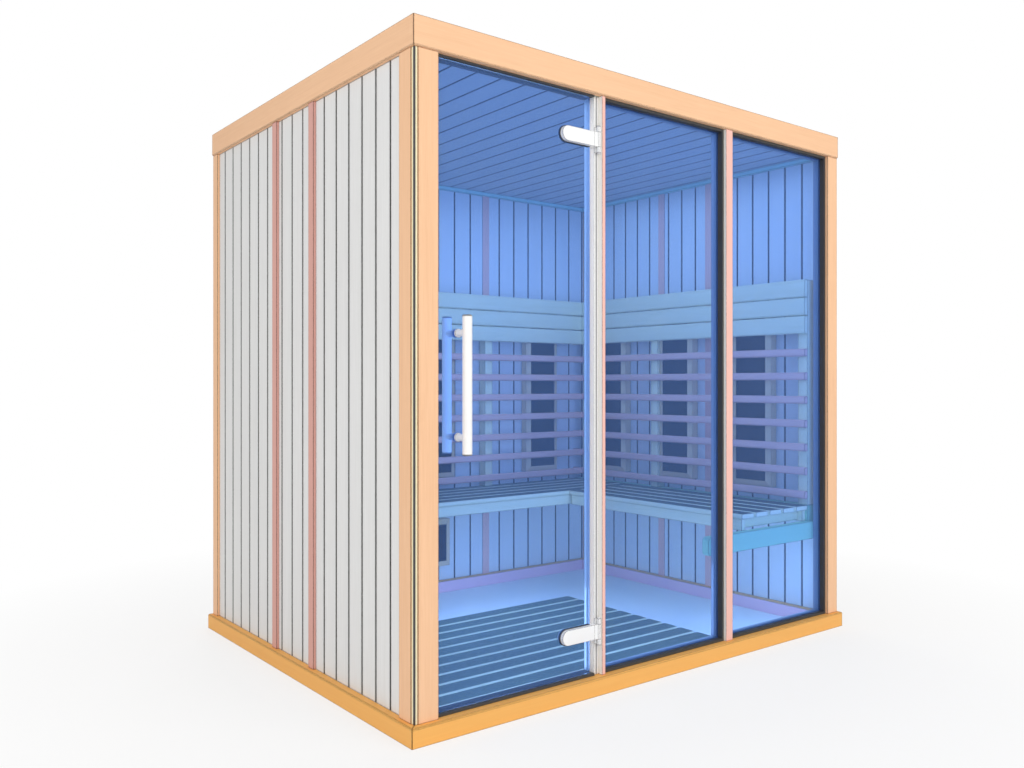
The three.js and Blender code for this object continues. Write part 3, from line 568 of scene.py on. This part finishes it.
def start_block(low, high):
    clear_choice()
    low, high = Vector(low), Vector(high)
    bpy.ops.mesh.primitive_cube_add(size=1.0, location=(low + high) / 2)
    piece = bpy.context.object
    piece.scale = high - low
    bpy.ops.object.transform_apply(location=True, rotation=True, scale=True)
    return piece


def bevel_edges(piece, wanted, width, segments):
    bpy.context.view_layer.objects.active = piece
    bpy.ops.object.mode_set(mode="EDIT")
    bpy.ops.mesh.select_mode(type="EDGE")
    bpy.ops.mesh.select_all(action="DESELECT")
    mesh = bmesh.from_edit_mesh(piece.data)
    for edge in mesh.edges:
        edge.select = wanted(edge.verts[0].co, edge.verts[1].co)
    mesh.select_flush_mode()
    bmesh.update_edit_mesh(piece.data)
    bpy.ops.mesh.bevel(offset=width, segments=segments, affect="EDGES")
    bpy.ops.object.mode_set(mode="OBJECT")


def smooth(piece, degrees=35.0):
    clear_choice()
    piece.select_set(True)
    bpy.context.view_layer.objects.active = piece
    bpy.ops.object.shade_smooth_by_angle(angle=math.radians(degrees))


def copy_piece(piece, shift):
    twin = piece.copy()
    twin.data = piece.data.copy()
    twin.data.transform(Matrix.Translation(shift))
    scene.collection.objects.link(twin)
    return twin


def edged_bar(low, high, axis, radius, end=0.0015):
    bar = start_block(low, high)
    bevel_edges(bar, lambda a, b: abs((b - a).normalized()[axis]) > 0.99, radius, 4)
    ends = (low[axis], high[axis])
    bevel_edges(
        bar,
        lambda a, b: any(abs(a[axis] - e) < 1e-5 and abs(b[axis] - e) < 1e-5 for e in ends),
        end,
        2,
    )
    smooth(bar)
    return bar


print("piece helpers ready")

# %% [markdown]
# Bench seats
# Each seat is five slats with rounded edges on a frame of aprons and bearers. One slat
# is shaped and then copied across, since a maker also cuts them all to one stop.

# %% Make the bench seats
SEAT_TOP, SEAT_UNDER, FRAME_LOW = 0.492, 0.472, 0.427
PITCH = 0.087
# Seat tops are multiplied by this colour as painted shade
SEAT_TOP_SHADE = (0.09, 0.12, 0.12)
cream = {axis: timber("cream", axis, edge_width=0.005) for axis in "xyz"}
shade_topped_cream = {axis: timber("cream", axis, top=SEAT_TOP_SHADE, edge_width=0.005) for axis in "xy"}


def place_bars(stem, first, count, step, finish, node):
    for index in range(count):
        piece = copy_piece(first, Vector(step) * index) if index else first
        settle(piece, f"{stem}_{index + 1}", finish, "cabin", [node])


slat = edged_bar((0.499, -0.689, SEAT_UNDER), (0.573, 0.303, SEAT_TOP), 1, 0.007)
place_bars("right_seat_slat", slat, 5, (PITCH, 0, 0), shade_topped_cream["y"], "right_bench")
slat = edged_bar((-0.9753, 0.3033, SEAT_UNDER), (0.921, 0.3773, SEAT_TOP), 0, 0.007)
place_bars("back_seat_slat", slat, 5, (0, PITCH, 0), shade_topped_cream["x"], "back_bench")
apron = edged_bar((0.508, -0.680, FRAME_LOW), (0.530, 0.294, SEAT_UNDER), 1, 0.002)
place_bars("right_seat_apron", apron, 2, (0.391, 0, 0), cream["y"], "right_bench")
apron = edged_bar((-0.9663, 0.3123, FRAME_LOW), (0.912, 0.3343, SEAT_UNDER), 0, 0.002)
place_bars("back_seat_apron", apron, 1, (0, 0, 0), cream["x"], "back_bench")
bearer = edged_bar((0.530, -0.660, 0.432), (0.899, -0.620, SEAT_UNDER), 0, 0.002)
place_bars("right_seat_bearer", bearer, 3, (0, 0.4515, 0), cream["x"], "right_bench")
bearer = edged_bar((-0.9553, 0.3343, 0.432), (-0.9153, 0.7253, SEAT_UNDER), 1, 0.002)
place_bars("back_seat_bearer", bearer, 5, (0.454075, 0, 0), cream["y"], "back_bench")

# %% [markdown]
# Backrests
# Shoulder planks stand over a ladder of narrow slats, screwed to upright supports, so
# that the warmth of the panels behind comes through. Backs lean on them, so planks and
# slats have the seat's well rounded edges, and the supports only a small one.

# %% Make the backrests
pink = {axis: timber("pink", axis, edge_width=0.006) for axis in "xy"}
RIGHT_Y, BACK_X = (-0.689, 0.7293), (-0.9753, 0.904)
plank = edged_bar((0.9043, RIGHT_Y[0], 1.197), (0.9243, RIGHT_Y[1], 1.269), 1, 0.007)
place_bars("right_shoulder_plank", plank, 3, (0, 0, 0.075), cream["y"], "right_backrest")
plank = edged_bar((BACK_X[0], 0.6583, 1.197), (BACK_X[1], 0.6783, 1.269), 0, 0.007)
place_bars("back_shoulder_plank", plank, 3, (0, 0, 0.075), cream["x"], "back_backrest")
slat = edged_bar((0.9043, RIGHT_Y[0], 0.518), (0.9243, RIGHT_Y[1], 0.550), 1, 0.007)
place_bars("right_back_slat", slat, 7, (0, 0, 0.0975), pink["y"], "right_backrest")
slat = edged_bar((BACK_X[0], 0.6583, 0.518), (BACK_X[1], 0.6783, 0.550), 0, 0.007)
place_bars("back_back_slat", slat, 7, (0, 0, 0.0975), pink["x"], "back_backrest")
for index, start in enumerate((-0.688, 0.139, 0.6293)):
    post = edged_bar((0.9243, start, 0.4923), (0.9713, start + 0.045, 1.418), 2, 0.002)
    name = f"right_back_support_{index + 1}"
    settle(post, name, cream["z"], "cabin", ["right_backrest"])
for index, start in enumerate((-0.967, -0.3567, 0.2867)):
    post = edged_bar((start, 0.6783, 0.4923), (start + 0.045, 0.7253, 1.418), 2, 0.002)
    name = f"back_back_support_{index + 1}"
    settle(post, name, cream["z"], "cabin", ["back_backrest"])
made = [item for item in scene.objects if "_back_s" in item.name or "plank" in item.name]
print("backrest pieces:", len(made))

# %% [markdown]
# Duckboard
# Ten floor slats on four bearers keep bare feet off the cold floor board. An Array
# modifier would repeat the slats too, but copies stay separate pieces, as they are when
# they are screwed down. The slats have a greyer timber, and their tops are darkened with
# painted shade.

# %% Make the duckboard
# Duckboard slat tops are multiplied by this colour as painted shade
SLAT_TOP_SHADE = (0.15, 0.22, 0.24)
shade_topped_slats = timber("weathered", "x", top=SLAT_TOP_SHADE, edge_width=0.005)
slat = edged_bar((-0.925, -0.641, 0.020), (0.376, -0.570, 0.040), 0, 0.006)
place_bars("floor_slat", slat, 10, (0, 0.083, 0), shade_topped_slats, "duckboard")
bearer = edged_bar((-0.910, -0.626, 0.0063), (-0.865, 0.162, 0.020), 1, 0.002)
place_bars("floor_bearer", bearer, 4, (0.408667, 0, 0), cream["y"], "duckboard")
made = [item for item in scene.objects if item.name.startswith(("floor_slat", "floor_bearer"))]
print("duckboard pieces:", len(made))

# %% [markdown]
# Door handle
# Two round bars, one on each face of the glass, joined by two posts through it. A
# cylinder gets an inset cap and a rounded rim; collars seat the posts on the glass.


# %% Make the door handle
def round_bar(axis, centre, radius, length, rim, cap, vertices=48):
    clear_choice()
    turn = {"x": (0, math.pi / 2, 0), "y": (math.pi / 2, 0, 0), "z": (0, 0, 0)}[axis]
    bpy.ops.mesh.primitive_cylinder_add(
        vertices=vertices, radius=radius, depth=length, location=centre, rotation=turn
    )
    bar = bpy.context.object
    bpy.ops.object.transform_apply(location=True, rotation=True, scale=True)
    bpy.ops.object.mode_set(mode="EDIT")
    bpy.ops.mesh.select_mode(type="FACE")
    bpy.ops.mesh.select_all(action="DESELECT")
    mesh = bmesh.from_edit_mesh(bar.data)
    for face in mesh.faces:
        face.select = abs(face.normal["xyz".index(axis)]) > 0.99
    bmesh.update_edit_mesh(bar.data)
    bpy.ops.mesh.bevel(offset=rim, segments=3, affect="EDGES")
    if cap:
        bpy.ops.mesh.inset(thickness=cap, use_individual=True)
        bpy.ops.mesh.extrude_region_shrink_fatten(TRANSFORM_OT_shrink_fatten={"value": -0.0008})
    bpy.ops.object.mode_set(mode="OBJECT")
    smooth(bar)
    return bar


COLLAR_PLACES = (("outer", -0.7530), ("inner", -0.7390))
for side in ("outer", "inner"):
    low, high = (Vector(corner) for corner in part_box(f"handle_{side}_bar"))
    bar = round_bar("z", (low + high) / 2, (high.x - low.x) / 2, high.z - low.z, 0.0035, 0.002)
    settle(bar, f"handle_{side}_grip", white_coat, "door", [f"handle_{side}_bar"])
for end in ("lower", "upper"):
    low, high = (Vector(corner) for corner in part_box(f"handle_standoff_{end}"))
    middle = (low + high) / 2
    post = round_bar("y", middle, (high.x - low.x) / 2, high.y - low.y, 0.0005, 0)
    node = f"handle_standoff_{end}"
    settle(post, f"handle_post_{end}", white_coat, "door", [node])
    for side, y in COLLAR_PLACES:
        collar = round_bar("y", (middle.x, y, middle.z), 0.0125, 0.0058, 0.0012, 0)
        settle(collar, f"handle_collar_{end}_{side}", white_coat, "door")
made = [item for item in scene.objects if any(w in item.name for w in ("grip", "post_", "collar"))]
print("handle pieces:", len(made))

# %% [markdown]
# Hinge covers
# A smooth cover plate with a round nose lies on each hinge leaf, and two cap screws
# clamp the plate behind the glass. A thin dark gasket keeps each plate off the glass and
# peeps out round it, so it is the same shape, a little larger.


# %% Make the hinge covers
def nose_plate(low, high, face=None):
    plate = start_block(low, high)
    half = (high[2] - low[2]) / 2 * 0.999

    def at_nose(a, b):
        level = abs(a.z - b.z) < 1e-6
        return level and abs(a.x - low[0]) < 1e-6 and abs(b.x - low[0]) < 1e-6

    bevel_edges(plate, at_nose, half, 12)
    if face is not None:
        bevel_edges(plate, lambda a, b: max(abs(a.y - face), abs(b.y - face)) < 1e-6, 0.0011, 3)
    smooth(plate)
    return plate


COVER_FACE, COVER_BACK, COVER_END = -0.7628, -0.7611, -0.3303
GASKET_PLACES = (("outer", -0.75024), ("inner", -0.74194))
GASKET_THICKNESS, GASKET_END = 0.00018, -0.346
SCREW_Y = -0.7336
GASKET_RIM = 0.0025
for end in ("lower", "upper"):
    low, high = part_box(f"{end}_hinge_leaf")
    cover = nose_plate((low[0], COVER_FACE, low[2]), (COVER_END, COVER_BACK, high[2]), COVER_FACE)
    settle(cover, f"{end}_hinge_cover", white_coat, "door")
    for side, y in GASKET_PLACES:
        gasket = nose_plate(
            (low[0] - GASKET_RIM, y, low[2] - GASKET_RIM),
            (GASKET_END, y + GASKET_THICKNESS, high[2] + GASKET_RIM),
        )
        settle(gasket, f"{end}_hinge_gasket_{side}", seal_grey, "door")
    for index, x in enumerate((-0.445, -0.375)):
        centre = (x, SCREW_Y, (low[2] + high[2]) / 2)
        screw = round_bar("y", centre, 0.0065, 0.0022, 0.0006, 0.0022, 24)
        settle(screw, f"{end}_hinge_screw_{index + 1}", steel, "door")
print("hinge covers ready")

# %% [markdown]
# Rubber strips
# A thin dark bead runs down the middle of the white jamb and cushions the door. Two more
# strips lie on the corner bead, one on each face, and make a dark line of painted shade down
# the corner. They could be painted on in the material, but thin bars catch the light as
# rubber does.

# %% Make the rubber strips
LIFT, SKIN, END_GAP = 0.0008, 0.0001, 0.001
(_, y, foot), (_, _, head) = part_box("door_jamb")
foot, head = foot + END_GAP, head - END_GAP
bead = edged_bar((-0.3188, y - 0.0012, foot), (-0.3158, y - SKIN, head), 2, 0.0005, 0.0003)
settle(bead, "jamb_bead", seal_grey)
(x, y, foot), (_, _, head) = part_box("corner_bead")
foot, head, reach = foot + END_GAP, head - END_GAP, 0.0042
# The two strips make a dark line of painted shade down the corner
strips = {
    "corner_strip_front": ((x - LIFT, y - LIFT, foot), (x + reach, y - SKIN, head)),
    "corner_strip_side": ((x - LIFT, y, foot), (x - SKIN, y + reach, head)),
}
for name, (low, high) in strips.items():
    settle(edged_bar(low, high, 2, 0.0003, 0.0003), name, seal_grey)
print("rubber strips ready")

# %% [markdown]
# Heater emitters
# Each infrared panel is a black film on a flat carrier, sunk in its frame. A plane would
# do from afar, but the carrier is a block with its face inset and pressed back, so that a
# thin rim shows round the film.


# %% Make the emitters
def emitter(name, low, high, face_axis):
    panel = start_block(low, high)
    bpy.ops.object.mode_set(mode="EDIT")
    bpy.ops.mesh.select_mode(type="FACE")
    bpy.ops.mesh.select_all(action="DESELECT")
    mesh = bmesh.from_edit_mesh(panel.data)
    for face in mesh.faces:
        face.select = face.normal[face_axis] < -0.99
    bmesh.update_edit_mesh(panel.data)
    bpy.ops.mesh.inset(thickness=0.004)
    bpy.ops.mesh.extrude_region_shrink_fatten(TRANSFORM_OT_shrink_fatten={"value": -0.001})
    bpy.ops.mesh.bevel(offset=0.0005, segments=2, affect="EDGES")
    bpy.ops.object.mode_set(mode="OBJECT")
    smooth(panel)
    return settle(panel, name, emitter_film)


FRAME_WIDTH, SINK, FILM_BACK = 0.0255, 0.0015, 0.0038
for name in [item for item in nodes if "heater" in item]:
    low, high = (Vector(corner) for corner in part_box(name))
    face_axis = 0 if name.startswith("right") else 1
    front = low[face_axis]
    rim = Vector((FRAME_WIDTH, FRAME_WIDTH, FRAME_WIDTH))
    film_low, film_high = low + rim, high - rim
    film_low[face_axis], film_high[face_axis] = front + SINK, front + FILM_BACK
    emitter(f"{name}_film", film_low, film_high, face_axis)

# %% [markdown]
# Roof fixings
# The roof panel is held by countersunk screws along its rim, and the control box has a
# raised lid, four cap screws, a row of cooling slots and a cable gland. One screw is
# turned and then copied to every place.

# %% Make the roof fixings
ROOF_TOP = 1.9616
screw = round_bar("z", (-0.97, -0.72, ROOF_TOP + 0.0008), 0.0055, 0.0014, 0.0004, 0.0016, 20)
places = [(x, y) for x in (-0.97, -0.485, 0.0, 0.485, 0.97) for y in (-0.72, 0.72)]
places += [(x, y) for x in (-0.97, 0.97) for y in (-0.24, 0.24)]
for index, (x, y) in enumerate(places):
    piece = copy_piece(screw, (x + 0.97, y + 0.72, 0)) if index else screw
    settle(piece, f"roof_screw_{index + 1}", steel)
low, high = (Vector(corner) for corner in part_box("control_box"))
lid_low = Vector((low.x + 0.014, low.y + 0.014, high.z + 0.0001))
lid_high = Vector((high.x - 0.014, high.y - 0.014, high.z + 0.003))
lid = edged_bar(lid_low, lid_high, 2, 0.008, 0.001)
settle(lid, "control_box_lid", black_casing)
for index, (x, y) in enumerate([(x, y) for x in (0.026, 0.234) for y in (0.026, 0.154)]):
    place = (low.x + x, low.y + y, high.z + 0.0037)
    screw = round_bar("z", place, 0.0042, 0.0013, 0.0004, 0.0014, 20)
    settle(screw, f"control_box_screw_{index + 1}", steel)
slot_low = Vector((low.x + 0.07, low.y + 0.05, high.z + 0.0031))
vent = edged_bar(slot_low, slot_low + Vector((0.12, 0.004, 0.0009)), 0, 0.0004, 0.0003)
for index in range(7):
    piece = copy_piece(vent, (0, 0.013 * index, 0)) if index else vent
    settle(piece, f"control_box_vent_{index + 1}", emitter_film)
gland = round_bar("y", (0.06, low.y - 0.008, low.z + 0.017), 0.011, 0.0158, 0.002, 0.003, 32)
settle(gland, "control_box_gland", black_casing)
made = [item for item in scene.objects if "roof_screw" in item.name or "control_box_" in item.name]
print("roof fixings:", len(made))

# %% [markdown]
# Floor and background
# The picture is plain white all round. The floor keeps a soft shadow near the cabin and
# fades to white farther off, for the camera, mirrors and glass alone. The world is white
# to these and dimmer as a lamp.


# %% Floor and world
def seen_straight(tree):
    rays = put(tree, "ShaderNodeLightPath").outputs
    through = maths(tree, "MAXIMUM", rays["Is Glossy Ray"], rays["Is Transmission Ray"])
    return maths(tree, "MAXIMUM", rays["Is Camera Ray"], through)


clear_choice()
bpy.ops.mesh.primitive_plane_add(size=60.0, location=(0, 0, -0.0006))
floor = bpy.context.object
floor.name = "studio_floor"
bpy.ops.object.transform_apply(location=True)
pale = bpy.data.materials.new("studio_floor")
pale.use_nodes = True
tree = pale.node_tree
skin = tree.nodes["Principled BSDF"]
skin.inputs["Base Color"].default_value = (0.9, 0.9, 0.9, 1)
skin.inputs["Roughness"].default_value = 0.9
skin.inputs["Specular IOR Level"].default_value = 0.0
glow = put(tree, "ShaderNodeEmission", {"Color": (1, 1, 1, 1), "Strength": 1.0})
place = put(tree, "ShaderNodeTexCoord").outputs["Object"]
middle = put(tree, "ShaderNodeVectorMath", links={0: place}, operation="LENGTH")
away = remap(tree, middle.outputs["Value"], 1.2, 2.6, 0.72, 1.0)
share = maths(tree, "MULTIPLY", seen_straight(tree), away)
mix = put(tree, "ShaderNodeMixShader", links={0: share, 1: skin.outputs[0], 2: glow.outputs[0]})
tree.links.new(mix.outputs[0], tree.nodes["Material Output"].inputs["Surface"])
floor.data.materials.append(pale)
world = bpy.data.worlds.new("studio_world")
scene.world = world
world.use_nodes = True
tree = world.node_tree
strength = maths(tree, "ADD", maths(tree, "MULTIPLY", seen_straight(tree), 0.45), 0.55)
tree.links.new(strength, tree.nodes["Background"].inputs["Strength"])
tree.nodes["Background"].inputs["Color"].default_value = (1, 1, 1, 1)
print("floor and world ready")


# %% [markdown]
# Lamps
# Large soft lamps in front, at the side and behind light the timber evenly. Tinted glass
# takes much of that light away, so four more stand inside: one behind the glazing, one
# under the ceiling, and two low down for the floor and the boards under the seats. None
# of them shows, not in the glass either.


# %% Lamps
def soft_lamp(name, place, target, size, power):
    data = bpy.data.lights.new(name, "AREA")
    data.shape = "RECTANGLE"
    data.size, data.size_y = size
    data.energy = power
    lamp = bpy.data.objects.new(name, data)
    lamp.location = place
    lamp.rotation_euler = (Vector(target) - Vector(place)).to_track_quat("-Z", "Y").to_euler()
    scene.collection.objects.link(lamp)
    lamp.visible_camera = lamp.visible_glossy = lamp.visible_transmission = False


soft_lamp("front_softbox", (0.8, -5.2, 2.6), (0, -0.7, 1.0), (4.0, 3.0), 90.0)
soft_lamp("side_softbox", (-4.5, -2.2, 2.3), (-1.0, -0.2, 1.0), (3.0, 3.0), 52.0)
soft_lamp("inside_softbox", (0.0, -0.718, 0.985), (0.0, 0.7, 0.985), (1.86, 1.82), 9.5)
soft_lamp("overhead_softbox", (0.0, -0.1, 1.9), (0.0, -0.1, 0.0), (1.7, 1.2), 9.0)
soft_lamp("low_softbox", (0.0, -0.716, 0.20), (0.0, 0.7, 0.20), (1.8, 0.26), 4.0)
soft_lamp("floor_softbox", (-0.30, 0.02, 0.41), (-0.30, 0.02, 0.0), (1.2, 0.5), 3.8)
soft_lamp("back_softbox", (1.5, 5.0, 2.8), (0.2, 0.7, 1.0), (3.0, 3.0), 70.0)
print("lamps:", len(bpy.data.lights))
